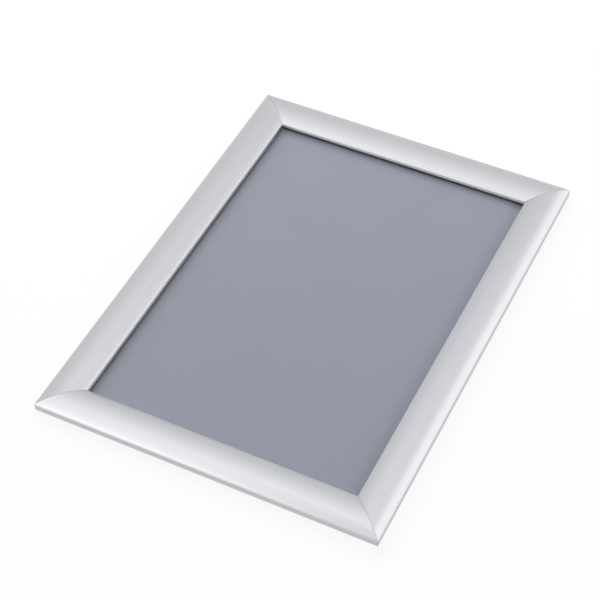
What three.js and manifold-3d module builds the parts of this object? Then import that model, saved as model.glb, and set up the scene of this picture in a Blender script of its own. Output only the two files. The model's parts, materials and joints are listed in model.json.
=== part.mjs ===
// Aluminium snap frame for an A4 poster, lying on its back with the picture side up.
// Four mitred base rails are held square by corner keys. On each base rail a domed
// cover rail turns on a bead along its outer edge, held open or shut by leaf springs.
// Millimetres. The origin is the middle of the back, +Z points out of the picture.
//
// Sections are drawn in two coordinates: u runs inwards from a rail's outer face,
// z runs up from the frame's back.

import * as THREE from "three";
import { mergeVertices } from "three/addons/utils/BufferGeometryUtils.js";
import Module from "manifold-3d";

const wasm = await Module();
wasm.setup();

// Poster and rails
const posterWidth = 210;
const posterLength = 297;
const posterOverlap = 10;
const railWidth = 25;
const mitreGap = 0.2;

// Base rail
const floorThickness = 0.8;
const outerWall = 1.0;
const backEdgeRadius = 0.3;
const flangeSetback = 0.6;
const stopWall = 1.0;
const springShoulder = 1.2;
const channelRibWall = 0.8;
const channelLipThickness = 0.7;
const swingGap = 0.9;
const wallHoleRadius = 2.25;
const wallHeadRadius = 3.3;
const wallHoleInset = 95;

// Hinge: a bead on the cover turns inside a hook along the base rail's outer edge
const hingeHeight = 3.55;
const beadRadius = 0.6;
const hingePlay = 0.15;
const hookWall = 0.55;
const hookShoulder = 0.38;
const hookTipAngle = 120;
const hookHeelAngle = 300;

// Cover rail
const lipTopHeight = 5.3;
const domeRise = 3.7;
const coverWall = 1.1;
const coverPlay = 0.15;
const coverEdge = 0.45;
const noseHeight = 1.9;
const noseLean = 0.5;
const lipSetback = 1.0;
const lipWall = 1.0;
const lipGap = 0.5;
const neckThickness = 0.6;
const neckDrop = 0.1;
const webWall = 1.0;
const webPlay = 0.15;
const webEndRelief = 1.5;

// Leaf springs
const springThickness = 0.4;
const springLength = 30;
const springInset = 64;
const springPlay = 0.25;
const springSeatDrop = 0.9;
const springBowSlack = 0.3;
const springHookEndAngle = -130;

// Corner keys and their set screws
const keyThickness = 1.4;
const keyLeg = 40;
const keyPlay = 0.25;
const keyLift = 0.3;
const screwRadius = 1.5;
const screwLength = 2.6;
const screwInset = 30;
const screwChamfer = 0.3;
const threadPlay = 0.15;
const slotPlay = 0.35;
const hexAcrossFlats = 1.5;
const hexDepth = 1.4;

// Back panel and clear sheet
const panelThickness = 0.8;
const sheetThickness = 0.3;
const sheetPlay = 0.3;
const restGap = 0.05;

// How far a facet may lie from the round surface that it stands for
const facetError = 0.01;
const screwSides = 20;
const wallHoleSides = 24;
const weldDistance = 0.0001;

// Places that follow from the sizes above
const frameWidth = posterWidth + 2 * (railWidth - posterOverlap);
const frameLength = posterLength + 2 * (railWidth - posterOverlap);
const hookInner = beadRadius + hingePlay;
const hookOuter = hookInner + hookWall;
const hinge = point(hookOuter, hingeHeight);
const shoulderRadius = hookOuter + hookShoulder;
const coverHollow = shoulderRadius + coverPlay;
const panelBottom = floorThickness + restGap;
const sheetBottom = panelBottom + panelThickness + restGap;
const lipBottom = sheetBottom + sheetThickness + lipGap;
const stopInnerU = railWidth - posterOverlap - sheetPlay;
const stopOuterU = stopInnerU - stopWall;
const keyBottom = floorThickness + keyLift;
const channelLipBottom = keyBottom + keyThickness + restGap;
const channelTop = channelLipBottom + channelLipThickness;
const webOuterU = hinge.x + coverHollow + webPlay;
const webInnerU = webOuterU + webWall;
const springSeat = point(webOuterU + webWall / 2, hingeHeight - springSeatDrop);
const springHookRadius = webWall / 2 + springPlay + springThickness / 2;
const swingRadius = hinge.distanceTo(springSeat) + springHookRadius + springThickness / 2;
const ribOuterU = hinge.x + swingRadius + swingGap;
const channelOuterU = ribOuterU + channelRibWall;
const channelMiddleU = (channelOuterU + stopOuterU) / 2;
const keyWidth = stopOuterU - channelOuterU - 2 * keyPlay;
const dome = domeCircle();

const aluminium = finish(0xc9cbcf, 0.38, 0.9);
const springSteel = finish(0x8f949b, 0.35, 0.95);
const zincPlate = finish(0xb3b7ba, 0.45, 0.85);
const blackSteel = finish(0x33353a, 0.5, 0.7);
const greyStyrene = finish(0x9a9ca8, 0.75, 0);
const clearPlastic = finish(0xeef2f5, 0.4, 0, 0.25);

function finish(color, roughness, metalness, opacity = 1) {
  const transparent = opacity < 1;
  return new THREE.MeshStandardMaterial({
    color, roughness, metalness, opacity, transparent, flatShading: true,
  });
}

function point(u, z) {
  return new THREE.Vector2(u, z);
}

function polar(centre, radius, degrees) {
  const angle = THREE.MathUtils.degToRad(degrees);
  return point(centre.x + radius * Math.cos(angle), centre.y + radius * Math.sin(angle));
}

function angleFrom(centre, to) {
  return THREE.MathUtils.radToDeg(Math.atan2(to.y - centre.y, to.x - centre.x));
}

// Points along an arc, both ends included.
function arc(centre, radius, from, to) {
  const step = 2 * Math.acos(1 - Math.min(facetError / radius, 0.5));
  const sweep = THREE.MathUtils.degToRad(Math.abs(to - from));
  const steps = Math.max(1, Math.ceil(sweep / step));
  return Array.from({ length: steps + 1 }, (_, i) =>
    polar(centre, radius, from + ((to - from) * i) / steps));
}

// Where two circles cross, on the right of the way from the first centre to the second
// for side 1, and on its left for side -1.
function circlesMeet(first, firstRadius, second, secondRadius, side) {
  const way = second.clone().sub(first);
  const distance = way.length();
  way.divideScalar(distance);
  const along = (firstRadius ** 2 - secondRadius ** 2 + distance ** 2) / (2 * distance);
  const across = side * Math.sqrt(firstRadius ** 2 - along ** 2);
  return point(
    first.x + along * way.x + across * way.y,
    first.y + along * way.y - across * way.x,
  );
}

// Height of the upper half of a circle about the dome's centre.
function domeHeight(radius, u) {
  return dome.centre.y + Math.sqrt(radius ** 2 - (u - dome.centre.x) ** 2);
}

// Direction from the hinge in which a circle about it reaches the rail's outer face.
function outerFaceAngle(radius) {
  return 180 - THREE.MathUtils.radToDeg(Math.acos(hinge.x / radius));
}

// The dome runs from the cover's outer edge, flush with the wall, to the top of the nose over
// the picture.
function domeCircle() {
  const edgeRadius = coverHollow + coverEdge;
  const edge = polar(hinge, edgeRadius, outerFaceAngle(edgeRadius));
  const nose = point(railWidth - noseLean, lipTopHeight);
  const chord = edge.distanceTo(nose);
  const radius = (chord ** 2 / 4 + domeRise ** 2) / (2 * domeRise);
  const drop = radius - domeRise;
  const centre = point(
    (edge.x + nose.x) / 2 - (drop * (edge.y - nose.y)) / chord,
    (edge.y + nose.y) / 2 - (drop * (nose.x - edge.x)) / chord,
  );
  return { edge, nose, radius, centre };
}

// Outer wall with the hook inside its top, floor, key channel, poster stop and inner flange
// of a base rail.
function baseSection() {
  const flangeEnd = railWidth - flangeSetback;
  const stopTop = channelTop + springShoulder;
  const outerLipU = channelMiddleU - screwRadius - slotPlay;
  const innerLipU = channelMiddleU + screwRadius + slotPlay;
  const wallMeetsHook = 180 + THREE.MathUtils.radToDeg(Math.acos((hinge.x - outerWall) / hookOuter));
  const backCorner = point(backEdgeRadius, backEdgeRadius);
  return new THREE.Shape([
    ...arc(backCorner, backEdgeRadius, 180, 270),
    point(flangeEnd, 0),
    point(flangeEnd, floorThickness),
    point(stopInnerU, floorThickness),
    point(stopInnerU, stopTop),
    point(stopOuterU, stopTop),
    point(stopOuterU, channelTop),
    point(innerLipU, channelTop),
    point(innerLipU, channelLipBottom),
    point(stopOuterU, channelLipBottom),
    point(stopOuterU, floorThickness),
    point(channelOuterU, floorThickness),
    point(channelOuterU, channelLipBottom),
    point(outerLipU, channelLipBottom),
    point(outerLipU, channelTop),
    point(ribOuterU, channelTop),
    point(ribOuterU, floorThickness),
    point(outerWall, floorThickness),
    ...arc(hinge, hookOuter, wallMeetsHook, hookHeelAngle),
    ...arc(hinge, hookInner, hookHeelAngle, hookTipAngle),
    ...arc(hinge, shoulderRadius, hookTipAngle, outerFaceAngle(shoulderRadius)),
  ]);
}

// Dome, nose and inner lip of a cover rail. The outer edge is hollowed to pass round the
// wall's shoulder.
function domeSection() {
  const under = dome.radius - coverWall;
  const lipOuterU = railWidth - lipSetback;
  const lipInnerU = lipOuterU - lipWall;
  const noseBottom = lipTopHeight - noseHeight;
  const edgeAngle = angleFrom(hinge, dome.edge);
  const lipRoot = point(lipInnerU, domeHeight(under, lipInnerU));
  const hollowMeet = circlesMeet(hinge, coverHollow, dome.centre, under, -1);
  return new THREE.Shape([
    ...arc(dome.centre, dome.radius, angleFrom(dome.centre, dome.edge), angleFrom(dome.centre, dome.nose)),
    point(railWidth, noseBottom),
    point(lipOuterU, noseBottom),
    ...arc(point(lipOuterU - lipWall / 2, lipBottom + lipWall / 2), lipWall / 2, 0, -180),
    ...arc(dome.centre, under, angleFrom(dome.centre, lipRoot), angleFrom(dome.centre, hollowMeet)),
    ...arc(hinge, coverHollow, angleFrom(hinge, hollowMeet), edgeAngle).slice(1),
  ]);
}

// Web, neck and bead under a cover rail. The web's round foot is the springs' seat.
function hingeSection() {
  const middle = dome.radius - coverWall / 2;
  const neckTop = hingeHeight - neckDrop + neckThickness / 2;
  const neckBottom = neckTop - neckThickness;
  const beadTop = THREE.MathUtils.radToDeg(Math.asin((neckTop - hingeHeight) / beadRadius));
  const beadBottom = THREE.MathUtils.radToDeg(Math.asin((neckBottom - hingeHeight) / beadRadius));
  return new THREE.Shape([
    point(webOuterU, domeHeight(middle, webOuterU)),
    point(webInnerU, domeHeight(middle, webInnerU)),
    ...arc(springSeat, webWall / 2, 0, -180),
    point(webOuterU, neckBottom),
    ...arc(hinge, beadRadius, beadBottom + 360, beadTop),
    point(webOuterU, neckTop),
  ]);
}

// A leaf spring: its foot stands on the key channel's inner lip, against the poster stop,
// its bow arches over the channel, and its hooked end reaches round under the cover's web.
function springSection() {
  const half = springThickness / 2;
  const foot = point(stopOuterU - springPlay - springThickness, channelTop + springPlay + half);
  const bowRadius = foot.distanceTo(springSeat) / 2 + springBowSlack;
  const bow = circlesMeet(foot, bowRadius, springSeat, bowRadius + springHookRadius, -1);
  const footAngle = angleFrom(bow, foot);
  const turnAngle = angleFrom(bow, springSeat);
  const hookAngle = turnAngle - 180;
  return new THREE.Shape([
    ...arc(bow, bowRadius + half, footAngle, turnAngle),
    ...arc(springSeat, springHookRadius - half, hookAngle, springHookEndAngle).slice(1),
    ...arc(springSeat, springHookRadius + half, springHookEndAngle, hookAngle),
    ...arc(bow, bowRadius - half, turnAngle, footAngle).slice(1),
  ]);
}

// A bar along x with the given section, cut square or with 45 degree mitres. The ends
// stop short of the cut by the clearance, measured along the bar.
function bar(section, length, mitred, clearance = 0) {
  const geometry = new THREE.ExtrudeGeometry(section, { depth: 1, steps: 1, bevelEnabled: false });
  const position = geometry.attributes.position;
  for (let i = 0; i < position.count; i++) {
    const u = position.getX(i);
    const z = position.getY(i);
    const reach = length / 2 - clearance - (mitred ? u : 0);
    position.setXYZ(i, position.getZ(i) > 0.5 ? reach : -reach, u, z);
  }
  return geometry;
}

function toSolid(geometry) {
  const bare = geometry.clone();
  bare.deleteAttribute("normal");
  bare.deleteAttribute("uv");
  const merged = mergeVertices(bare, weldDistance);
  return new wasm.Manifold(new wasm.Mesh({
    numProp: 3,
    vertProperties: new Float32Array(merged.attributes.position.array),
    triVerts: new Uint32Array(merged.index.array),
  }));
}

function toGeometry(solid) {
  const mesh = solid.getMesh();
  const geometry = new THREE.BufferGeometry();
  geometry.setAttribute("position", new THREE.BufferAttribute(mesh.vertProperties, 3));
  geometry.setIndex(new THREE.BufferAttribute(mesh.triVerts, 1));
  geometry.computeVertexNormals();
  return geometry;
}

// A drill of the given radius from one height to another, over a place on a rail.
function drill(radius, bottom, top, along, u) {
  const bit = new THREE.CylinderGeometry(radius, radius, top - bottom, wallHoleSides);
  bit.rotateX(Math.PI / 2);
  bit.translate(along, u, (bottom + top) / 2);
  return toSolid(bit);
}

// Each wall hole goes through the floor, with room for the screw's head between the lips.
function baseRail(length, hasWallHoles) {
  let rail = toSolid(bar(baseSection(), length, true, mitreGap));
  const ends = hasWallHoles ? [-1, 1] : [];
  for (const end of ends) {
    const along = end * (length / 2 - wallHoleInset);
    rail = rail.subtract(drill(wallHoleRadius, -floorThickness, keyBottom, along, channelMiddleU));
    rail = rail.subtract(drill(wallHeadRadius, keyBottom, channelTop + keyLift, along, channelMiddleU));
  }
  return toGeometry(rail);
}

// The web and bead end short of the mitre, so that a rail swings past its neighbours.
function coverRail(length) {
  const shell = toSolid(bar(domeSection(), length, true, mitreGap));
  const underside = toSolid(bar(hingeSection(), length, true, mitreGap + webEndRelief));
  return toGeometry(shell.add(underside));
}

function leafSpring(offset) {
  const spring = bar(springSection(), springLength, false);
  spring.translate(offset, 0, 0);
  return spring;
}

// Flat L in the key channels of two rails. x and y run along the frame's outer faces.
function cornerKey() {
  const near = channelOuterU + keyPlay;
  const inside = near + keyWidth;
  const far = near + keyLeg;
  const outline = new THREE.Shape([
    point(near, near),
    point(far, near),
    point(far, inside),
    point(inside, inside),
    point(inside, far),
    point(near, far),
  ]);
  for (const centre of screwCentres()) {
    const hole = new THREE.Path();
    hole.absarc(centre.x, centre.y, screwRadius + threadPlay, 0, 2 * Math.PI);
    outline.holes.push(hole);
  }
  const key = new THREE.ExtrudeGeometry(outline, {
    depth: keyThickness, steps: 1, bevelEnabled: false, curveSegments: screwSides / 2,
  });
  key.translate(0, 0, keyBottom);
  return key;
}

function screwCentres() {
  const near = channelOuterU + keyPlay;
  return [point(near + screwInset, channelMiddleU), point(channelMiddleU, near + screwInset)];
}

// Set screw that bears on the floor and lifts the key against the channel's lips.
function setScrew(centre) {
  const profile = [
    point(0, 0),
    point(screwRadius - screwChamfer, 0),
    point(screwRadius, screwChamfer),
    point(screwRadius, screwLength - screwChamfer),
    point(screwRadius - screwChamfer, screwLength),
    point(0, screwLength),
  ];
  const body = new THREE.LatheGeometry(profile, screwSides);
  body.rotateX(Math.PI / 2);
  const hexCorner = hexAcrossFlats / Math.sqrt(3);
  const socket = new THREE.CylinderGeometry(hexCorner, hexCorner, 2 * hexDepth, 6);
  socket.rotateX(Math.PI / 2);
  socket.translate(0, 0, screwLength);
  const screw = toGeometry(toSolid(body).subtract(toSolid(socket)));
  screw.translate(centre.x, centre.y, panelBottom);
  return screw;
}

function flatSheet(thickness, bottom) {
  const sheet = new THREE.BoxGeometry(posterWidth, posterLength, thickness);
  sheet.translate(0, 0, bottom + thickness / 2);
  return sheet;
}

function addMesh(group, name, geometry, material) {
  const mesh = new THREE.Mesh(geometry, material);
  mesh.name = name;
  group.add(mesh);
}

// In a side's group x runs along the rail and y runs inwards from its outer face.
function sideGroup(name, quarterTurns, x, y, length, hasWallHoles) {
  const group = new THREE.Group();
  addMesh(group, `base_rail_${name}`, baseRail(length, hasWallHoles), aluminium);
  addMesh(group, `cover_rail_${name}`, coverRail(length), aluminium);
  [-1, 1].forEach((end, i) => {
    const offset = end * (length / 2 - springInset);
    addMesh(group, `leaf_spring_${name}_${i + 1}`, leafSpring(offset), springSteel);
  });
  group.rotation.z = quarterTurns * Math.PI / 2;
  group.position.set(x, y, 0);
  return group;
}

// In a corner's group x and y run along the outer faces of the two rails that meet there.
function cornerGroup(name, quarterTurns, x, y) {
  const group = new THREE.Group();
  addMesh(group, `corner_key_${name}`, cornerKey(), zincPlate);
  screwCentres().forEach((centre, i) => {
    addMesh(group, `key_screw_${name}_${i + 1}`, setScrew(centre), blackSteel);
  });
  group.rotation.z = quarterTurns * Math.PI / 2;
  group.position.set(x, y, 0);
  return group;
}

const right = frameWidth / 2;
const top = frameLength / 2;
const snapFrame = new THREE.Group();
snapFrame.add(
  sideGroup("bottom", 0, 0, -top, frameWidth, false),
  sideGroup("right", 1, right, 0, frameLength, true),
  sideGroup("top", 2, 0, top, frameWidth, false),
  sideGroup("left", 3, -right, 0, frameLength, true),
  cornerGroup("bottom_left", 0, -right, -top),
  cornerGroup("bottom_right", 1, right, -top),
  cornerGroup("top_right", 2, right, top),
  cornerGroup("top_left", 3, -right, top),
);
addMesh(snapFrame, "back_panel", flatSheet(panelThickness, panelBottom), greyStyrene);
addMesh(snapFrame, "clear_sheet", flatSheet(sheetThickness, sheetBottom), clearPlastic);

export default snapFrame;
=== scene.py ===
import json
import math

import bmesh
import bpy
from mathutils import Matrix, Vector


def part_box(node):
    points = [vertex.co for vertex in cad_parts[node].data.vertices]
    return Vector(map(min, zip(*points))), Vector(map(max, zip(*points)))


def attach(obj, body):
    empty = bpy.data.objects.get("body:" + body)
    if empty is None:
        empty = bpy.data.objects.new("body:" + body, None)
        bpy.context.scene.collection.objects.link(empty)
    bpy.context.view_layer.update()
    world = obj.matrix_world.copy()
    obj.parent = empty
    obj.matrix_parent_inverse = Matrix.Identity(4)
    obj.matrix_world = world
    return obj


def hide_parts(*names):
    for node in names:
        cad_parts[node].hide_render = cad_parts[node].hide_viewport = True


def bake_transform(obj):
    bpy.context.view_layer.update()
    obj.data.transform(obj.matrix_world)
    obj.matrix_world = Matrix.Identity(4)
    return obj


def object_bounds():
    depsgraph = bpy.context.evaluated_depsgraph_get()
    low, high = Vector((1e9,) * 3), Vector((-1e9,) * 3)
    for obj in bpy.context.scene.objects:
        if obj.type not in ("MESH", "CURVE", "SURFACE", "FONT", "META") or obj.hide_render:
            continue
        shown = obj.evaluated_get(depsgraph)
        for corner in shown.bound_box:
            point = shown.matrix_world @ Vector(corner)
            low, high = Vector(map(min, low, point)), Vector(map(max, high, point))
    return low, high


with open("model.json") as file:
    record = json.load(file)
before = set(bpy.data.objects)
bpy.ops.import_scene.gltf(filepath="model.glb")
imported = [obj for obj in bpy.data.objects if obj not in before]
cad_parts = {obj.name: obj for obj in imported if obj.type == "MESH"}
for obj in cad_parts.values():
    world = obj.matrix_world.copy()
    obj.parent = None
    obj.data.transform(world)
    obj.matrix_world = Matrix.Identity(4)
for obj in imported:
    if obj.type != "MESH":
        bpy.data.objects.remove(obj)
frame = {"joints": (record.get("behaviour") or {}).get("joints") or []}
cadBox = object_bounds()
scene = bpy.context.scene

# Sections are drawn in millimetres: u runs inwards from a rail's outer face, z up from the back.
mm = 0.001
halfWidth = cadBox[1].x / mm
halfLength = cadBox[1].y / mm
sides = {
    "bottom": {"turn": 0, "place": (0, -halfLength), "length": 2 * halfWidth, "wallHoles": False},
    "right": {"turn": 90, "place": (halfWidth, 0), "length": 2 * halfLength, "wallHoles": True},
    "top": {"turn": 180, "place": (0, halfLength), "length": 2 * halfWidth, "wallHoles": False},
    "left": {"turn": 270, "place": (-halfWidth, 0), "length": 2 * halfLength, "wallHoles": True},
}
cornerNames = ("bottom_left", "bottom_right", "top_right", "top_left")


def nodeBox(name):
    low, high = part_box(name)
    return low / mm, high / mm


# from a rail's own axes, x along it and y inwards, to its side of the frame
def sideMatrix(side):
    x, y = side["place"]
    return Matrix.Translation((x * mm, y * mm, 0)) @ Matrix.Rotation(math.radians(side["turn"]), 4, "Z")


# what the frame says about the sections
hingeJoint = next(joint for joint in frame["joints"] if joint["child"] == "cover_bottom")
hinge = (halfLength + hingeJoint["pos_m"][1] / mm, hingeJoint["pos_m"][2] / mm)
railWidth = halfLength + nodeBox("cover_rail_bottom")[1].y
flangeEnd = halfLength + nodeBox("base_rail_bottom")[1].y
stopTop = nodeBox("base_rail_bottom")[1].z
panelLow, panelHigh = nodeBox("back_panel")
sheetLow, sheetHigh = nodeBox("clear_sheet")
keyLow, keyHigh = nodeBox("corner_key_bottom_left")
screwLow, screwHigh = nodeBox("key_screw_bottom_left_1")
keyNear = keyLow.x + halfWidth
channelMiddle = (screwLow.y + screwHigh.y) / 2 + halfLength
screwAlong = (screwLow.x + screwHigh.x) / 2 + halfWidth
print("frame read:", round(2 * halfWidth, 1), "x", round(2 * halfLength, 1), "mm")


# points and arcs of a section

def polar(centre, radius, degrees):
    angle = math.radians(degrees)
    return centre[0] + radius * math.cos(angle), centre[1] + radius * math.sin(angle)


def angleTo(centre, spot):
    return math.degrees(math.atan2(spot[1] - centre[1], spot[0] - centre[0]))


def arc(centre, radius, start, end, steps, endRound=0.0):
    rounds = [endRound] + [0.0] * (steps - 1) + [endRound]
    return [(*polar(centre, radius, start + (end - start) * i / steps), rounds[i]) for i in range(steps + 1)]


# where two circles cross, on the left of the way from the first centre to the second
def circlesMeet(first, firstRadius, second, secondRadius):
    way = Vector(second) - Vector(first)
    gap = way.length
    along = (firstRadius ** 2 - secondRadius ** 2 + gap ** 2) / (2 * gap)
    across = math.sqrt(firstRadius ** 2 - along ** 2)
    way.normalize()
    return first[0] + along * way.x - across * way.y, first[1] + along * way.y + across * way.x


# meshes

meshing = {
    "mergeDistance": 0.0005, "roundSteps": 4, "bevelSteps": 2, "smoothAngle": 32,
    "cutLean": 0.6, "plateAngle": 50,
}


def newPiece(name, mesh):
    piece = bpy.data.objects.new(name, mesh)
    scene.collection.objects.link(piece)
    return piece


def mergeMesh(mesh):
    work = bmesh.new()
    work.from_mesh(mesh)
    bmesh.ops.remove_doubles(work, verts=work.verts, dist=meshing["mergeDistance"] * mm)
    bmesh.ops.recalc_face_normals(work, faces=work.faces)
    work.to_mesh(mesh)
    work.free()


def pieceFromWork(name, work):
    mesh = bpy.data.meshes.new(name)
    work.to_mesh(mesh)
    work.free()
    mergeMesh(mesh)
    return newPiece(name, mesh)


def bakeModifiers(piece):
    graph = bpy.context.evaluated_depsgraph_get()
    graph.update()
    mesh = bpy.data.meshes.new_from_object(
        piece.evaluated_get(graph), preserve_all_data_layers=True, depsgraph=graph)
    oldMesh = piece.data
    piece.modifiers.clear()
    piece.data = mesh
    mesh.name = piece.name
    bpy.data.meshes.remove(oldMesh)
    return piece


def finishPiece(piece, matrix, smoothAngle=meshing["smoothAngle"]):
    mesh = piece.data
    mesh.transform(matrix)
    mergeMesh(mesh)
    mesh.shade_smooth()
    mesh.set_sharp_from_angle(angle=math.radians(smoothAngle))
    along = mesh.attributes.new("railAlong", "FLOAT_VECTOR", "POINT")
    along.data.foreach_set("vector", list(matrix.col[0][:3]) * len(mesh.vertices))
    # large faces keep their own normals beside small rounds and chamfers
    even = piece.modifiers.new("evenNormals", "WEIGHTED_NORMAL")
    even.keep_sharp = True
    return bakeModifiers(piece)


# points for copies of a piece, each with its own turn about z
def placesPiece(name, spots, turns=None):
    mesh = bpy.data.meshes.new(name)
    mesh.from_pydata([(x * mm, y * mm, z * mm) for x, y, z in spots], [], [])
    angles = mesh.attributes.new("turn", "FLOAT", "POINT")
    angles.data.foreach_set("value", [math.radians(turn) for turn in (turns or [0] * len(spots))])
    return newPiece(name, mesh)


# a closed outline as a mesh of edges, with the radius that each corner gets and how far
# each point stops short of the bar's cut ends
def outlinePiece(name, points, endTrims=None):
    mesh = bpy.data.meshes.new(name)
    count = len(points)
    edges = [(i, (i + 1) % count) for i in range(count)]
    mesh.from_pydata([(u * mm, z * mm, 0) for u, z, _ in points], edges, [])
    rounds = mesh.attributes.new("cornerRound", "FLOAT", "POINT")
    rounds.data.foreach_set("value", [radius * mm for _, _, radius in points])
    trims = mesh.attributes.new("endTrim", "FLOAT", "POINT")
    trims.data.foreach_set("value", [trim * mm for trim in (endTrims or [0] * count)])
    return newPiece(name, mesh)


def addPoint(work, x, y, z):
    return work.verts.new((x * mm, y * mm, z * mm))


# faces between rings of points, where a ring may be a single point
def joinRings(work, rings):
    count = max(len(ring) for ring in rings)
    for lower, upper in zip(rings, rings[1:]):
        for i in range(count):
            j = (i + 1) % count
            corners = [lower[i % len(lower)], lower[j % len(lower)]]
            corners += [upper[j % len(upper)], upper[i % len(upper)]]
            work.faces.new(list(dict.fromkeys(corners)))


def turnedSolid(name, profile, segments):
    work = bmesh.new()
    rings = []
    for radius, z in profile:
        count = segments if radius > 0 else 1
        rings.append([addPoint(work, *polar((0, 0), radius, 360 * i / segments), z) for i in range(count)])
    joinRings(work, rings)
    return pieceFromWork(name, work)


# a flat plate over an outline, with its edges rounded
def flatPlate(name, outline, low, high, edgeRadius, material):
    work = bmesh.new()
    face = work.faces.new([addPoint(work, x, y, low) for x, y in outline])
    lifted = bmesh.ops.extrude_face_region(work, geom=[face])["geom"]
    top = [item for item in lifted if isinstance(item, bmesh.types.BMVert)]
    bmesh.ops.translate(work, verts=top, vec=(0, 0, (high - low) * mm))
    plate = pieceFromWork(name, work)
    plate.data.materials.append(material)
    bevel = plate.modifiers.new("plateEdges", "BEVEL")
    bevel.width = edgeRadius * mm
    bevel.segments = meshing["bevelSteps"]
    bevel.angle_limit = math.radians(meshing["plateAngle"])
    return bakeModifiers(plate)


# a small chamfer on the sawn ends, whose faces lean towards the rail's length
def chamferCuts(piece, width):
    mesh = piece.data
    work = bmesh.new()
    work.from_mesh(mesh)
    weights = work.edges.layers.float.new("bevel_weight_edge")
    for edge in work.edges:
        leaning = [abs(face.normal.x) > meshing["cutLean"] for face in edge.link_faces]
        edge[weights] = 1.0 if len(leaning) == 2 and leaning[0] != leaning[1] else 0.0
    work.to_mesh(mesh)
    work.free()
    bevel = piece.modifiers.new("cutChamfer", "BEVEL")
    bevel.limit_method = "WEIGHT"
    bevel.width = width * mm
    bevel.segments = meshing["bevelSteps"]
    bevel.use_clamp_overlap = False
    return bakeModifiers(piece)


# node trees, for geometry and for materials

def addNode(tree, kind, inputs=None, **settings):
    node = tree.nodes.new(kind)
    for key, value in settings.items():
        setattr(node, key, value)
    for key, value in (inputs or {}).items():
        if isinstance(value, bpy.types.NodeSocket):
            tree.links.new(value, node.inputs[key])
        else:
            node.inputs[key].default_value = value
    return node


def addMath(tree, operation, first, second=0.0):
    return addNode(tree, "ShaderNodeMath", {0: first, 1: second}, operation=operation).outputs[0]


def ownValue(tree, name, kind="FLOAT"):
    return addNode(tree, "GeometryNodeInputNamedAttribute", {"Name": name}, data_type=kind).outputs[0]


def newTree(name, inputs):
    tree = bpy.data.node_groups.new(name, "GeometryNodeTree")
    tree.interface.new_socket(name="Geometry", in_out="INPUT", socket_type="NodeSocketGeometry")
    for label, kind in inputs.items():
        tree.interface.new_socket(name=label, in_out="INPUT", socket_type="NodeSocket" + kind)
    tree.interface.new_socket(name="Geometry", in_out="OUTPUT", socket_type="NodeSocketGeometry")
    return tree, tree.nodes.new("NodeGroupInput").outputs


def endTree(tree, geometry, material):
    real = addNode(tree, "GeometryNodeRealizeInstances", {"Geometry": geometry})
    painted = addNode(tree, "GeometryNodeSetMaterial", {"Geometry": real.outputs[0], "Material": material})
    addNode(tree, "NodeGroupOutput", {"Geometry": painted.outputs[0]})
    return tree


def runTree(piece, tree, values):
    modifier = piece.modifiers.new(tree.name, "NODES")
    modifier.node_group = tree
    for item in tree.interface.items_tree:
        if item.in_out == "INPUT" and item.name in values:
            modifier[item.identifier] = values[item.name]
    return bakeModifiers(piece)


# Sweeps an outline along x: rounds its corners, cuts the ends on a slope, and keeps each
# point's place on the rail for the material.
def barTree():
    tree, given = newTree("sweptBar", {
        "Length": "Float", "End Gap": "Float", "Cut Slope": "Float", "Split Caps": "Float",
        "Material": "Material"})
    outline = addNode(tree, "GeometryNodeMeshToCurve", {"Mesh": given["Geometry"]})
    rounded = addNode(tree, "GeometryNodeFilletCurve", {
        "Curve": outline.outputs[0], "Radius": ownValue(tree, "cornerRound"),
        "Count": meshing["roundSteps"], "Limit Radius": True}, mode="POLY")
    place = addNode(tree, "GeometryNodeInputPosition").outputs[0]
    section = addNode(tree, "GeometryNodeStoreNamedAttribute", {
        "Geometry": rounded.outputs[0], "Name": "sectionPlace", "Value": place}, data_type="FLOAT_VECTOR")
    path = addNode(tree, "GeometryNodeCurvePrimitiveLine", {"Start": (-1, 0, 0), "End": (1, 0, 0)})
    swept = addNode(tree, "GeometryNodeCurveToMesh", {
        "Curve": path.outputs[0], "Profile Curve": section.outputs[0], "Fill Caps": True})
    # caps that get bent below, those of more than 4 corners, are split into triangles while flat
    corners = addNode(tree, "GeometryNodeInputMeshFaceNeighbors").outputs["Vertex Count"]
    bentCaps = addMath(tree, "MULTIPLY", addMath(tree, "GREATER_THAN", corners, 4.0), given["Split Caps"])
    split = addNode(tree, "GeometryNodeTriangulate", {"Mesh": swept.outputs[0], "Selection": bentCaps})
    across = addNode(tree, "ShaderNodeSeparateXYZ", {0: ownValue(tree, "sectionPlace", "FLOAT_VECTOR")})
    along = addNode(tree, "ShaderNodeSeparateXYZ", {0: place})
    half = addMath(tree, "MULTIPLY", given["Length"], 0.5)
    cut = addMath(tree, "MULTIPLY", given["Cut Slope"], across.outputs[0])
    short = addMath(tree, "ADD", addMath(tree, "ADD", cut, given["End Gap"]), ownValue(tree, "endTrim"))
    reach = addMath(tree, "SUBTRACT", half, short)
    x = addMath(tree, "MULTIPLY", reach, addMath(tree, "SIGN", along.outputs[0]))
    spot = addNode(tree, "ShaderNodeCombineXYZ", {0: x, 1: across.outputs[0], 2: across.outputs[1]})
    placed = addNode(tree, "GeometryNodeSetPosition", {
        "Geometry": split.outputs[0], "Position": spot.outputs[0]})
    kept = addNode(tree, "GeometryNodeStoreNamedAttribute", {
        "Geometry": placed.outputs[0], "Name": "railPlace", "Value": place}, data_type="FLOAT_VECTOR")
    return endTree(tree, kept.outputs[0], given["Material"])


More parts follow.
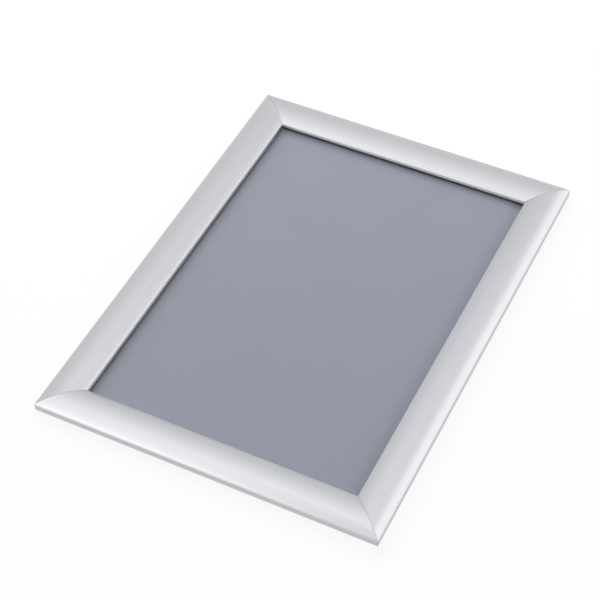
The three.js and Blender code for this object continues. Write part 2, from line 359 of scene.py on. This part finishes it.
# Puts a copy of a piece on every point, turned about z by the point's own angle.
def copiesTree():
    tree, given = newTree("copiesOnPoints", {"Piece": "Object", "Material": "Material"})
    source = addNode(tree, "GeometryNodeObjectInfo", {"Object": given["Piece"]})
    spin = addNode(tree, "ShaderNodeCombineXYZ", {2: ownValue(tree, "turn")})
    rotation = addNode(tree, "FunctionNodeEulerToRotation", {0: spin.outputs[0]})
    copies = addNode(tree, "GeometryNodeInstanceOnPoints", {
        "Points": given["Geometry"], "Instance": source.outputs["Geometry"], "Rotation": rotation.outputs[0]})
    return endTree(tree, copies.outputs[0], given["Material"])


# Takes a copy of a drill out of a piece at every point.
def drilledTree():
    tree, given = newTree("drilledPiece", {"Drill": "Object", "Places": "Object", "Material": "Material"})
    source = addNode(tree, "GeometryNodeObjectInfo", {"Object": given["Drill"]})
    places = addNode(tree, "GeometryNodeObjectInfo", {"Object": given["Places"]})
    drills = addNode(tree, "GeometryNodeInstanceOnPoints", {
        "Points": places.outputs["Geometry"], "Instance": source.outputs["Geometry"]})
    real = addNode(tree, "GeometryNodeRealizeInstances", {"Geometry": drills.outputs[0]})
    cut = addNode(
        tree, "GeometryNodeMeshBoolean", {0: given["Geometry"], 1: real.outputs[0]},
        operation="DIFFERENCE", solver="MANIFOLD")
    return endTree(tree, cut.outputs[0], given["Material"])


# Joins two solids of one rail, which both go into the union's second socket.
def joinedTree():
    tree, given = newTree("joinedBar", {"Other": "Object", "Material": "Material"})
    other = addNode(tree, "GeometryNodeObjectInfo", {"Object": given["Other"]})
    union = addNode(
        tree, "GeometryNodeMeshBoolean", {1: given["Geometry"]}, operation="UNION", solver="MANIFOLD")
    tree.links.new(other.outputs["Geometry"], union.inputs[1])
    return endTree(tree, union.outputs[0], given["Material"])


sweptBar = barTree()
copiesOnPoints = copiesTree()
drilledPiece = drilledTree()
joinedBar = joinedTree()
print("node trees ready")


# finishes

def emptyMaterial(name):
    material = bpy.data.materials.new(name)
    material.use_nodes = True
    material.node_tree.nodes.clear()
    return material, material.node_tree


def shadedMaterial(name):
    material, tree = emptyMaterial(name)
    shader = addNode(tree, "ShaderNodeBsdfPrincipled")
    addNode(tree, "ShaderNodeOutputMaterial", {"Surface": shader.outputs[0]})
    return material, tree, shader


# where the material is on the piece itself, and where it was on the straight rail
def objectPlace(tree):
    return addNode(tree, "ShaderNodeTexCoord").outputs["Object"]


def railValue(tree, name):
    return addNode(tree, "ShaderNodeAttribute", attribute_name=name).outputs["Vector"]


def noiseField(tree, coordinates, scale, detail=2.0):
    mapped = addNode(tree, "ShaderNodeMapping", {"Vector": coordinates, "Scale": scale})
    noise = addNode(tree, "ShaderNodeTexNoise", {"Vector": mapped.outputs[0], "Scale": 1.0, "Detail": detail})
    return noise.outputs[0]


def mixFields(tree, first, second, share):
    return addMath(
        tree, "ADD", addMath(tree, "MULTIPLY", first, share), addMath(tree, "MULTIPLY", second, 1 - share))


# the middle half of a noise, where most of it lies, spread over a range
def spread(tree, value, low, high):
    ranged = addNode(tree, "ShaderNodeMapRange", {
        "Value": value, "From Min": 0.25, "From Max": 0.75, "To Min": low, "To Max": high})
    return ranged.outputs[0]


def paint(tree, shader, look, colourField, roughField):
    colour = addNode(tree, "ShaderNodeMix", {
        0: spread(tree, colourField, 0, 1), 6: (*look["dark"], 1), 7: (*look["light"], 1)}, data_type="RGBA")
    tree.links.new(colour.outputs[2], shader.inputs["Base Color"])
    tree.links.new(spread(tree, roughField, *look["roughness"]), shader.inputs["Roughness"])


def addBump(tree, shader, height, look):
    bump = addNode(tree, "ShaderNodeBump", {
        "Height": height, "Strength": look["bump"], "Distance": look["bumpDepth"] * mm})
    tree.links.new(bump.outputs[0], shader.inputs["Normal"])


# satin silver anodising over the fine lines that a die leaves along an extrusion
aluminiumLook = {
    "dark": (0.515, 0.522, 0.540), "light": (0.562, 0.570, 0.586), "roughness": (0.33, 0.41),
    "lineScale": (14, 4200, 4200), "bandScale": (3, 420, 420), "lineShare": 0.5,
    "stretch": 0.55, "stretchTurn": 0.25, "bump": 0.25, "bumpDepth": 0.004,
}


def anodisedAluminium(look):
    material, tree, shader = shadedMaterial("anodisedAluminium")
    place = railValue(tree, "railPlace")
    lines = noiseField(tree, place, look["lineScale"], detail=3.0)
    bands = noiseField(tree, place, look["bandScale"])
    mixed = mixFields(tree, lines, bands, look["lineShare"])
    paint(tree, shader, look, mixed, mixed)
    shader.inputs["Metallic"].default_value = 1.0
    # the lines stretch reflections across the rail
    tree.links.new(railValue(tree, "railAlong"), shader.inputs["Tangent"])
    shader.inputs["Anisotropic"].default_value = look["stretch"]
    shader.inputs["Anisotropic Rotation"].default_value = look["stretchTurn"]
    addBump(tree, shader, lines, look)
    return material


# rolled strip: streaks along the rolling direction, with a few darker oil marks
springLook = {
    "dark": (0.24, 0.25, 0.27), "light": (0.36, 0.37, 0.39), "roughness": (0.24, 0.42),
    "streakScale": (60, 5200, 5200), "markScale": (160, 160, 160), "streakShare": 0.55,
    "bump": 0.3, "bumpDepth": 0.005,
}


def rolledSteel(look):
    material, tree, shader = shadedMaterial("rolledSpringSteel")
    place = railValue(tree, "railPlace")
    streaks = noiseField(tree, place, look["streakScale"], detail=3.0)
    marks = noiseField(tree, place, look["markScale"])
    paint(tree, shader, look, mixFields(tree, streaks, marks, look["streakShare"]), marks)
    shader.inputs["Metallic"].default_value = 1.0
    addBump(tree, shader, streaks, look)
    return material


# plated or blackened steel: a grainy, blotchy surface
zincLook = {
    "dark": (0.42, 0.44, 0.45), "light": (0.58, 0.60, 0.61), "roughness": (0.32, 0.55), "metallic": 1.0,
    "grainScale": (2400, 2400, 2400), "blotchScale": (200, 200, 200), "grainShare": 0.4,
    "bump": 0.35, "bumpDepth": 0.01,
}
blackLook = {
    "dark": (0.030, 0.031, 0.034), "light": (0.062, 0.064, 0.07), "roughness": (0.38, 0.6), "metallic": 0.6,
    "grainScale": (3600, 3600, 3600), "blotchScale": (300, 300, 300), "grainShare": 0.4,
    "bump": 0.35, "bumpDepth": 0.01,
}


def coatedSteel(name, look):
    material, tree, shader = shadedMaterial(name)
    place = objectPlace(tree)
    grain = noiseField(tree, place, look["grainScale"], detail=4.0)
    blotch = noiseField(tree, place, look["blotchScale"])
    paint(tree, shader, look, mixFields(tree, grain, blotch, look["grainShare"]), grain)
    shader.inputs["Metallic"].default_value = look["metallic"]
    addBump(tree, shader, grain, look)
    return material


# extruded styrene sheet with a faint pebble
panelLook = {
    "dark": (0.323, 0.330, 0.415), "light": (0.335, 0.342, 0.427), "roughness": (0.55, 0.72),
    "pebbleScale": (2600, 2600, 2600), "cloudScale": (22, 22, 22), "specular": 0.35,
    "bump": 0.3, "bumpDepth": 0.015,
}


def greyStyrene(look):
    material, tree, shader = shadedMaterial("greyStyrene")
    place = objectPlace(tree)
    pebble = noiseField(tree, place, look["pebbleScale"])
    cloud = noiseField(tree, place, look["cloudScale"])
    paint(tree, shader, look, cloud, pebble)
    shader.inputs["Specular IOR Level"].default_value = look["specular"]
    addBump(tree, shader, pebble, look)
    return material


# clear film whose outer face mirrors with a fine matt grain; the sheen counts both its faces
sheetLook = {
    "clear": (0.97, 0.975, 0.98), "sheen": (1.85, 2.0), "roughness": (0.44, 0.52), "ior": 1.53,
    "grainScale": (5200, 5200, 5200), "hazeScale": (30, 30, 30), "bump": 0.25, "bumpDepth": 0.008,
}


def clearMattFilm(look):
    material, tree = emptyMaterial("clearMattFilm")
    place = objectPlace(tree)
    grain = noiseField(tree, place, look["grainScale"])
    haze = noiseField(tree, place, look["hazeScale"])
    through = addNode(tree, "ShaderNodeBsdfTransparent", {"Color": (*look["clear"], 1)})
    gloss = addNode(tree, "ShaderNodeBsdfGlossy", {"Roughness": spread(tree, grain, *look["roughness"])})
    addBump(tree, gloss, grain, look)
    mirror = addNode(tree, "ShaderNodeFresnel", {"IOR": look["ior"]}).outputs[0]
    inside = addNode(tree, "ShaderNodeNewGeometry").outputs["Backfacing"]
    share = addMath(tree, "MULTIPLY", mirror, spread(tree, haze, *look["sheen"]))
    outside = addMath(tree, "MULTIPLY", share, addMath(tree, "SUBTRACT", 1.0, inside))
    mixed = addNode(tree, "ShaderNodeMixShader", {0: outside, 1: through.outputs[0], 2: gloss.outputs[0]})
    addNode(tree, "ShaderNodeOutputMaterial", {"Surface": mixed.outputs[0]})
    return material


aluminium = anodisedAluminium(aluminiumLook)
springSteel = rolledSteel(springLook)
zincPlate = coatedSteel("zincPlatedSteel", zincLook)
blackSteel = coatedSteel("blackenedSteel", blackLook)
styrene = greyStyrene(panelLook)
film = clearMattFilm(sheetLook)
print("finishes ready")


# base rails: wall with the hook inside its top, floor, key channel, poster stop and flange

baseRail = {
    "floor": 0.8, "wall": 1.0, "stopWall": 1.0, "sheetPlay": 0.3,
    "hookInner": 0.75, "hookWall": 0.55, "hookShoulder": 0.38, "hookTip": 120, "hookHeel": 300,
    "ribWall": 0.8, "keyPlay": 0.25, "lipUnder": 2.55, "lipTop": 3.25, "slotHalf": 1.85,
    "backRound": 0.3, "edgeRound": 0.2, "innerRound": 0.25, "hookRound": 0.1, "arcSteps": 6, "hookSteps": 24,
    "mitreGap": 0.06, "cutChamfer": 0.06,
    "holeRadius": 2.25, "holeChamfer": 0.25, "holeInset": 95, "holeSides": 48,
    "headRadius": 3.3, "headSeat": 0.1, "drillOver": 1.0,
}
stopInner = halfWidth - panelHigh.x - baseRail["sheetPlay"]
stopOuter = stopInner - baseRail["stopWall"]
channelOuter = keyNear - baseRail["keyPlay"]


# direction from the hinge in which a circle about it reaches the rail's outer face
def outerFaceAngle(radius):
    return 180 - math.degrees(math.acos(hinge[0] / radius))


def baseSection(s):
    edge, inner = s["edgeRound"], s["innerRound"]
    hookOuter = s["hookInner"] + s["hookWall"]
    shoulder = hookOuter + s["hookShoulder"]
    wallMeets = 180 + math.degrees(math.acos((hinge[0] - s["wall"]) / hookOuter))
    ribOuter = channelOuter - s["ribWall"]
    back = (s["backRound"], s["backRound"])
    return [
        *arc(back, s["backRound"], 180, 270, s["arcSteps"]),
        (flangeEnd, 0, edge),
        (flangeEnd, s["floor"], edge),
        (stopInner, s["floor"], inner),
        (stopInner, stopTop, edge),
        (stopOuter, stopTop, edge),
        (stopOuter, s["lipTop"], inner),
        (channelMiddle + s["slotHalf"], s["lipTop"], edge),
        (channelMiddle + s["slotHalf"], s["lipUnder"], edge),
        (stopOuter, s["lipUnder"], inner),
        (stopOuter, s["floor"], inner),
        (channelOuter, s["floor"], inner),
        (channelOuter, s["lipUnder"], inner),
        (channelMiddle - s["slotHalf"], s["lipUnder"], edge),
        (channelMiddle - s["slotHalf"], s["lipTop"], edge),
        (ribOuter, s["lipTop"], edge),
        (ribOuter, s["floor"], inner),
        (s["wall"], s["floor"], inner),
        *arc(hinge, hookOuter, wallMeets, s["hookHeel"], s["arcSteps"], s["hookRound"]),
        *arc(hinge, s["hookInner"], s["hookHeel"], s["hookTip"], s["hookSteps"], s["hookRound"]),
        *arc(hinge, shoulder, s["hookTip"], outerFaceAngle(shoulder), s["arcSteps"], s["hookRound"]),
    ]


# a drill as a turned solid: the hole through the floor and the room for a screw's head above it
def wallHoleDrill(s):
    over, chamfer = s["drillOver"], s["holeChamfer"]
    hole, head = s["holeRadius"], s["headRadius"]
    seat, top = s["floor"] + s["headSeat"], s["lipTop"] + over
    profile = [
        (0, -over), (hole + chamfer + over, -over), (hole + chamfer, 0), (hole, chamfer),
        (hole, seat), (head, seat), (head, top), (0, top),
    ]
    return turnedSolid("wallHoleDrill", profile, s["holeSides"])


for name, side in sides.items():
    rail = runTree(outlinePiece(f"baseRail.{name}", baseSection(baseRail)), sweptBar, {
        "Length": side["length"] * mm, "End Gap": baseRail["mitreGap"] * mm, "Cut Slope": 1.0,
        "Material": aluminium})
    mergeMesh(rail.data)
    chamferCuts(rail, baseRail["cutChamfer"])
    if side["wallHoles"]:
        drill = wallHoleDrill(baseRail)
        holeAlong = side["length"] / 2 - baseRail["holeInset"]
        places = placesPiece("wallHoles", [(-holeAlong, channelMiddle, 0), (holeAlong, channelMiddle, 0)])
        runTree(rail, drilledPiece, {"Drill": drill, "Places": places, "Material": aluminium})
        bpy.data.objects.remove(drill)
        bpy.data.objects.remove(places)
    finishPiece(rail, sideMatrix(side))
    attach(rail, "base")
    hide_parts(f"base_rail_{name}")
print("base rails swept and drilled")


# cover rails: a domed shell with a lip over the picture, and the web and bead under it

coverRail = {
    "domeRise": 3.7, "wall": 1.1, "hollow": 1.83, "edge": 0.45,
    "noseTop": 5.3, "noseHeight": 1.9, "noseLean": 0.5, "lipSetback": 1.0, "lipWall": 1.0, "lipUnder": 2.5,
    "neck": 0.6, "neckDrop": 0.1, "beadRadius": 0.6,
    "webOuter": 3.28, "webWall": 1.0, "webFlare": 0.4, "footDrop": 0.9,
    "edgeRound": 0.14, "noseRound": 0.2, "rootRound": 0.35, "flareRound": 0.2, "neckRound": 0.15,
    "beadRound": 0.06, "domeSteps": 56, "footSteps": 14, "edgeSteps": 8, "beadSteps": 24,
    "mitreGap": 0.06, "webRelief": 1.64, "cutChamfer": 0.06,
}
springSeat = (coverRail["webOuter"] + coverRail["webWall"] / 2, hinge[1] - coverRail["footDrop"])


def domeCircle(s):
    edge = polar(hinge, s["hollow"] + s["edge"], outerFaceAngle(s["hollow"] + s["edge"]))
    nose = (railWidth - s["noseLean"], s["noseTop"])
    chord = math.dist(edge, nose)
    radius = (chord ** 2 / 4 + s["domeRise"] ** 2) / (2 * s["domeRise"])
    drop = (radius - s["domeRise"]) / chord
    centre = (
        (edge[0] + nose[0]) / 2 - drop * (edge[1] - nose[1]),
        (edge[1] + nose[1]) / 2 - drop * (nose[0] - edge[0]))
    return centre, radius, edge, nose


def domeHeight(centre, radius, u):
    return centre[1] + math.sqrt(radius ** 2 - (u - centre[0]) ** 2)


# the same points with other radii at the two ends
def withEndRounds(points, first, last):
    return [(*points[0][:2], first), *points[1:-1], (*points[-1][:2], last)]


def domeSection(s):
    centre, radius, edge, nose = domeCircle(s)
    under = radius - s["wall"]
    lipOuter = railWidth - s["lipSetback"]
    lipInner = lipOuter - s["lipWall"]
    noseUnder = s["noseTop"] - s["noseHeight"]
    root = (lipInner, domeHeight(centre, under, lipInner))
    meet = circlesMeet(hinge, s["hollow"], centre, under)
    foot = (lipOuter - s["lipWall"] / 2, s["lipUnder"] + s["lipWall"] / 2)
    top = arc(centre, radius, angleTo(centre, edge), angleTo(centre, nose), s["domeSteps"])
    below = arc(centre, under, angleTo(centre, root), angleTo(centre, meet), s["domeSteps"])
    inside = arc(
        hinge, s["hollow"], angleTo(hinge, meet), angleTo(hinge, edge), s["edgeSteps"], s["edgeRound"])
    return [
        *withEndRounds(top, s["edgeRound"], s["noseRound"]),
        (railWidth, noseUnder, s["edgeRound"]),
        (lipOuter, noseUnder, s["edgeRound"]),
        *arc(foot, s["lipWall"] / 2, 0, -180, s["footSteps"]),
        *withEndRounds(below, s["rootRound"], s["edgeRound"]),
        *inside[1:],
    ]


def hingeSection(s):
    centre, radius, _, _ = domeCircle(s)
    webOuter, webInner, flare = s["webOuter"], s["webOuter"] + s["webWall"], s["webFlare"]
    neckTop = hinge[1] - s["neckDrop"] + s["neck"] / 2
    neckUnder = neckTop - s["neck"]
    beadTop = math.degrees(math.asin((neckTop - hinge[1]) / s["beadRadius"]))
    beadUnder = math.degrees(math.asin((neckUnder - hinge[1]) / s["beadRadius"]))
    middle, under = radius - s["wall"] / 2, radius - s["wall"]
    return [
        (webOuter, domeHeight(centre, middle, webOuter), 0),
        (webInner + 2 * flare, domeHeight(centre, middle, webInner + 2 * flare), 0),
        (webInner + flare, domeHeight(centre, under, webInner + flare), s["flareRound"]),
        (webInner, domeHeight(centre, under, webInner) - flare, s["rootRound"]),
        *arc(springSeat, s["webWall"] / 2, 0, -180, s["footSteps"]),
        (webOuter, neckUnder, s["neckRound"]),
        *arc(hinge, s["beadRadius"], beadUnder + 360, beadTop, s["beadSteps"], s["beadRound"]),
        (webOuter, neckTop, s["neckRound"]),
    ]


for name, side in sides.items():
    sizes = {"Length": side["length"] * mm, "Cut Slope": 1.0, "Material": aluminium}
    cover = runTree(outlinePiece(f"coverRail.{name}", domeSection(coverRail)), sweptBar, {
        **sizes, "End Gap": coverRail["mitreGap"] * mm})
    web = runTree(outlinePiece("hingeWeb", hingeSection(coverRail)), sweptBar, {
        **sizes, "End Gap": (coverRail["mitreGap"] + coverRail["webRelief"]) * mm})
    mergeMesh(cover.data)
    mergeMesh(web.data)
    chamferCuts(cover, coverRail["cutChamfer"])
    runTree(cover, joinedBar, {"Other": web, "Material": aluminium})
    bpy.data.objects.remove(web)
    finishPiece(cover, sideMatrix(side))
    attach(cover, f"cover_{name}")
    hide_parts(f"cover_rail_{name}")
print("cover rails swept")


# leaf springs: a bow from the poster stop to a hook round the web's foot

leafSpring = {
    "thickness": 0.4, "play": 0.25, "bowSlack": 0.3, "hookEnd": -130, "cornerRound": 2.0,
    "bowSteps": 40, "hookSteps": 20, "smoothAngle": 40, "bendFrom": 11.2, "bendTo": 4.9,
}


# how far a rounded corner of the strip draws back at a distance from its end
def cornerTrim(distance, radius):
    if distance >= radius:
        return 0.0
    return radius - math.sqrt(radius ** 2 - (radius - distance) ** 2)


def springSection(s):
    half = s["thickness"] / 2
    foot = (stopOuter - s["play"] - s["thickness"], baseRail["lipTop"] + s["play"] + half)
    hookRadius = coverRail["webWall"] / 2 + s["play"] + half
    bowRadius = math.dist(foot, springSeat) / 2 + s["bowSlack"]
    bow = circlesMeet(foot, bowRadius, springSeat, bowRadius + hookRadius)
    start, turn = angleTo(bow, foot), angleTo(bow, springSeat)

    # the face outside the bow is inside the hook, and the other way round
    def stripFace(offset):
        bowArc = arc(bow, bowRadius + offset, start, turn, s["bowSteps"])
        hookArc = arc(springSeat, hookRadius - offset, turn - 180, s["hookEnd"], s["hookSteps"])
        return bowArc + hookArc[1:]

    upper, lower = stripFace(half), stripFace(-half)
    way = [0.0]
    for first, second in zip(upper, upper[1:]):
        way.append(way[-1] + math.dist(first[:2], second[:2]))
    trims = [cornerTrim(min(spot, way[-1] - spot), s["cornerRound"]) for spot in way]
    return upper + lower[::-1], trims + trims[::-1]


springOutline, springTrims = springSection(leafSpring)
for name, side in sides.items():
    toFrame = sideMatrix(side)
    boxes = [nodeBox(f"leaf_spring_{name}_{i}") for i in (1, 2)]
    springLength = max((boxes[0][1] - boxes[0][0])[:2])
    strip = runTree(outlinePiece("springStrip", springOutline, springTrims), sweptBar, {
        "Length": springLength * mm, "End Gap": 0.0, "Cut Slope": 0.0, "Split Caps": 1.0,
        "Material": springSteel})
    middles = [toFrame.inverted() @ ((low + high) / 2 * mm) / mm for low, high in boxes]
    places = placesPiece(f"leafSprings.{name}", [(spot.x, 0, 0) for spot in middles])
    pair = runTree(places, copiesOnPoints, {"Piece": strip, "Material": springSteel})
    bpy.data.objects.remove(strip)
    finishPiece(pair, toFrame, leafSpring["smoothAngle"])
    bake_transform(pair)
    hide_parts(f"leaf_spring_{name}_1", f"leaf_spring_{name}_2")
print("leaf springs bent")


# corner keys: flat L plates in the channels of two rails, each with two set screws

cornerKey = {"edgeRound": 0.2, "threadPlay": 0.15, "holeSides": 40, "drillOver": 1.0}
cornerSpots = [(x * halfWidth, y * halfLength, 0) for x, y in ((-1, -1), (1, -1), (1, 1), (-1, 1))]
cornerTurns = [0, 90, 180, 270]
screwSpots = [(screwAlong, channelMiddle, 0), (channelMiddle, screwAlong, 0)]


def keyPlate(s):
    far = keyNear + keyHigh.x - keyLow.x
    inside = 2 * channelMiddle - keyNear
    outline = [
        (keyNear, keyNear), (far, keyNear), (far, inside), (inside, inside), (inside, far), (keyNear, far)]
    plate = flatPlate("keyPlate", outline, keyLow.z, keyHigh.z, s["edgeRound"], zincPlate)
    radius = (screwHigh.x - screwLow.x) / 2 + s["threadPlay"]
    low, high = keyLow.z - s["drillOver"], keyHigh.z + s["drillOver"]
    drill = turnedSolid("keyHoleDrill", [(0, low), (radius, low), (radius, high), (0, high)], s["holeSides"])
    places = placesPiece("keyHoles", screwSpots)
    runTree(plate, drilledPiece, {"Drill": drill, "Places": places, "Material": zincPlate})
    bpy.data.objects.remove(drill)
    bpy.data.objects.remove(places)
    return plate


plate = keyPlate(cornerKey)
keys = runTree(placesPiece("cornerKeys", cornerSpots, cornerTurns), copiesOnPoints, {
    "Piece": plate, "Material": zincPlate})
bpy.data.objects.remove(plate)
finishPiece(keys, Matrix.Identity(4))
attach(keys, "base")
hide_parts(*(f"corner_key_{name}" for name in cornerNames))
print("corner keys placed")


# set screws: a threaded body with a hexagon socket

setScrew = {
    "pitch": 0.5, "threadDepth": 0.2, "chamfer": 0.3, "around": 48, "rows": 44, "smoothAngle": 35,
    "hexFlats": 1.5, "hexDepth": 1.4, "hexCone": 0.3, "turnStep": 37,
}


# a point on a hexagon, seen from its middle at an angle
def hexPoint(degrees, corner):
    swing = (degrees % 60) - 30
    return polar((0, 0), corner * math.cos(math.radians(30)) / math.cos(math.radians(swing)), degrees)


def screwBody(s):
    radius = (screwHigh.x - screwLow.x) / 2
    length = screwHigh.z - screwLow.z
    turns = [i / s["around"] for i in range(s["around"])]
    work = bmesh.new()
    rings = []
    for row in range(s["rows"] + 1):
        z = length * row / s["rows"]
        taper = max(0.0, s["chamfer"] - min(z, length - z))
        grooves = [s["threadDepth"] * abs(2 * ((z / s["pitch"] - turn) % 1.0) - 1) for turn in turns]
        spots = [polar((0, 0), radius - max(taper, deep), 360 * turn) for deep, turn in zip(grooves, turns)]
        rings.append([addPoint(work, *spot, z) for spot in spots])
    mouth = [hexPoint(360 * turn, s["hexFlats"] / math.sqrt(3)) for turn in turns]
    socketEnd = length - s["hexDepth"]
    rings.append([addPoint(work, *spot, length) for spot in mouth])
    rings.append([addPoint(work, *spot, socketEnd) for spot in mouth])
    rings.append([addPoint(work, 0, 0, socketEnd - s["hexCone"])])
    work.faces.new(rings[0][::-1])
    joinRings(work, rings)
    return pieceFromWork("screwBody", work)


def screwPlaces(s):
    spots = []
    for turn, (x, y, _) in zip(cornerTurns, cornerSpots):
        spin = Matrix.Rotation(math.radians(turn), 3, "Z")
        spots += [spin @ Vector(spot) + Vector((x, y, screwLow.z)) for spot in screwSpots]
    return placesPiece("keyScrews", spots, [s["turnStep"] * i for i in range(len(spots))])


body = screwBody(setScrew)
screws = runTree(screwPlaces(setScrew), copiesOnPoints, {"Piece": body, "Material": blackSteel})
bpy.data.objects.remove(body)
finishPiece(screws, Matrix.Identity(4), setScrew["smoothAngle"])
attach(screws, "base")
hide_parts(*(f"key_screw_{name}_{i}" for name in cornerNames for i in (1, 2)))
print("set screws placed")


# back panel and clear sheet: thin plates with rounded corners

thinPlates = {"cornerRadius": 2.0, "cornerSteps": 6, "panelEdge": 0.12, "sheetEdge": 0.05}


def thinPlate(name, low, high, edgeRadius, material):
    radius, steps = thinPlates["cornerRadius"], thinPlates["cornerSteps"]
    outline = []
    for i, (x, y) in enumerate(((low.x, low.y), (high.x, low.y), (high.x, high.y), (low.x, high.y))):
        centre = (x + math.copysign(radius, -x), y + math.copysign(radius, -y))
        outline += [(u, v) for u, v, _ in arc(centre, radius, 180 + 90 * i, 270 + 90 * i, steps)]
    return finishPiece(flatPlate(name, outline, low.z, high.z, edgeRadius, material), Matrix.Identity(4))


panel = thinPlate("backPanel", panelLow, panelHigh, thinPlates["panelEdge"], styrene)
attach(panel, "base")
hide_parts("back_panel")
sheet = thinPlate("clearSheet", sheetLow, sheetHigh, thinPlates["sheetEdge"], film)
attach(sheet, "base")
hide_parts("clear_sheet")
print("panel and sheet laid in")


# Studio: white floor and sky for the eye and for reflections. The cards hang face down and only show as
# reflections. The lamps face the frame and only light it, the last of them from below, for the back.

studio = {
    "floorSize": 8.0, "floorDrop": 0.0003, "floorColour": (0.96, 0.96, 0.96), "floorGlow": 0.90,
    "fadeFrom": 0.4, "fadeTo": 1.3, "skyLight": 0.06,
    "cards": (
        {"from": (-0.35, -0.11, 0.95), "size": (1.0, 0.38), "power": 0.90},
        {"from": (-0.35, 0.29, 0.95), "size": (1.0, 0.42), "power": 0.44},
        {"from": (-0.35, 0.73, 0.95), "size": (1.0, 0.46), "power": 0.25},
        {"from": (-0.85, -0.87, 0.95), "size": (1.15, 0.7), "power": 3.80},
        {"from": (0.775, 0.75, 0.70), "size": (0.65, 1.9), "power": 4.30},
    ),
    "lamps": (
        {"from": (-1.86, 0.60, 0.84), "size": (1.0, 1.0), "power": 40.0},
        {"from": (-0.76, 1.82, 0.96), "size": (1.0, 1.0), "power": 48.0},
        {"from": (1.90, 0.20, 0.84), "size": (1.0, 1.0), "power": 26.0},
        {"from": (0.00, -0.10, -1.40), "size": (1.2, 1.2), "power": 15.0},
    ),
}


# 1 for the rays that see the white surroundings, 0 for those that only carry light
def whiteRays(tree, rays):
    seen = addMath(tree, "MAXIMUM", rays["Is Camera Ray"], rays["Is Glossy Ray"])
    return addMath(tree, "MAXIMUM", seen, rays["Is Transmission Ray"])


def floorPaint(s):
    material, tree = emptyMaterial("paleFloor")
    rays = addNode(tree, "ShaderNodeLightPath").outputs
    matt = addNode(tree, "ShaderNodeBsdfDiffuse", {"Color": (*s["floorColour"], 1)})
    glow = addNode(tree, "ShaderNodeEmission", {"Color": (1, 1, 1, 1), "Strength": 1.0})
    # far from the object, where the lamps don't reach, the camera sees plain white
    away = addNode(tree, "ShaderNodeVectorMath", {0: objectPlace(tree)}, operation="LENGTH")
    far = addNode(tree, "ShaderNodeMapRange", {
        "Value": away.outputs["Value"], "From Min": s["fadeFrom"], "From Max": s["fadeTo"]})
    farSeen = addMath(tree, "MULTIPLY", far.outputs[0], rays["Is Camera Ray"])
    near = addMath(tree, "MULTIPLY", whiteRays(tree, rays), s["floorGlow"])
    share = addMath(tree, "MAXIMUM", near, farSeen)
    lit = addNode(tree, "ShaderNodeMixShader", {0: share, 1: matt.outputs[0], 2: glow.outputs[0]})
    # open from below, for the eye and for the lamp under it
    clear = addNode(tree, "ShaderNodeBsdfTransparent")
    under = addNode(tree, "ShaderNodeNewGeometry").outputs["Backfacing"]
    seeThrough = addMath(tree, "MAXIMUM", under, rays["Is Shadow Ray"])
    oneSided = addNode(tree, "ShaderNodeMixShader", {0: seeThrough, 1: lit.outputs[0], 2: clear.outputs[0]})
    addNode(tree, "ShaderNodeOutputMaterial", {"Surface": oneSided.outputs[0]})
    return material


def addFloor(s):
    half, low = s["floorSize"] / 2, -s["floorDrop"]
    mesh = bpy.data.meshes.new("floor")
    mesh.from_pydata(
        [(-half, -half, low), (half, -half, low), (half, half, low), (-half, half, low)], [], [(0, 1, 2, 3)])
    mesh.materials.append(floorPaint(s))
    newPiece("floor", mesh)


def addSky(s):
    world = bpy.data.worlds.new("whiteStudio")
    scene.world = world
    world.use_nodes = True
    tree = world.node_tree
    tree.nodes.clear()
    rays = addNode(tree, "ShaderNodeLightPath").outputs
    extra = addMath(tree, "MULTIPLY", whiteRays(tree, rays), 1 - s["skyLight"])
    strength = addMath(tree, "ADD", extra, s["skyLight"])
    sky = addNode(tree, "ShaderNodeBackground", {"Color": (1, 1, 1, 1), "Strength": strength})
    addNode(tree, "ShaderNodeOutputWorld", {"Surface": sky.outputs[0]})


def addSoftBox(name, s, aim, mirrored):
    lamp = bpy.data.lights.new(name, "AREA")
    lamp.shape = "RECTANGLE"
    lamp.size, lamp.size_y = s["size"]
    lamp.energy = s["power"]
    holder = bpy.data.objects.new(name, lamp)
    holder.location = s["from"]
    holder.rotation_euler = (Vector(aim) - Vector(s["from"])).to_track_quat("-Z", "Y").to_euler()
    holder.visible_glossy = mirrored
    holder.visible_diffuse = not mirrored
    scene.collection.objects.link(holder)


addFloor(studio)
addSky(studio)
for i, card in enumerate(studio["cards"]):
    addSoftBox(f"mirroredCard{i}", card, (*card["from"][:2], 0), True)
for i, lamp in enumerate(studio["lamps"]):
    addSoftBox(f"softBox{i}", lamp, (0, 0, 0), False)
print("studio lit")


# camera, fitted to the frame's eight corners in the picture of 600 by 600 pixels

cameraView = {
    "imageSize": 600, "focalPixels": 1675.8, "sensor": 36.0, "clipStart": 0.05,
    "from": (0.33750, -0.67343, 0.84113), "aim": (-0.00882, -0.00719, 0.0), "roll": -1.59,
}


def addCamera(s):
    data = bpy.data.cameras.new("camera")
    data.sensor_width = s["sensor"]
    data.lens = s["focalPixels"] / s["imageSize"] * s["sensor"]
    data.clip_start = s["clipStart"]
    camera = bpy.data.objects.new("camera", data)
    look = Vector(s["aim"]) - Vector(s["from"])
    turn = look.to_track_quat("-Z", "Y").to_matrix().to_4x4()
    roll = Matrix.Rotation(math.radians(s["roll"]), 4, "Z")
    camera.matrix_world = Matrix.Translation(s["from"]) @ turn @ roll
    scene.collection.objects.link(camera)
    scene.camera = camera


addCamera(cameraView)
scene.view_settings.view_transform = "Standard"
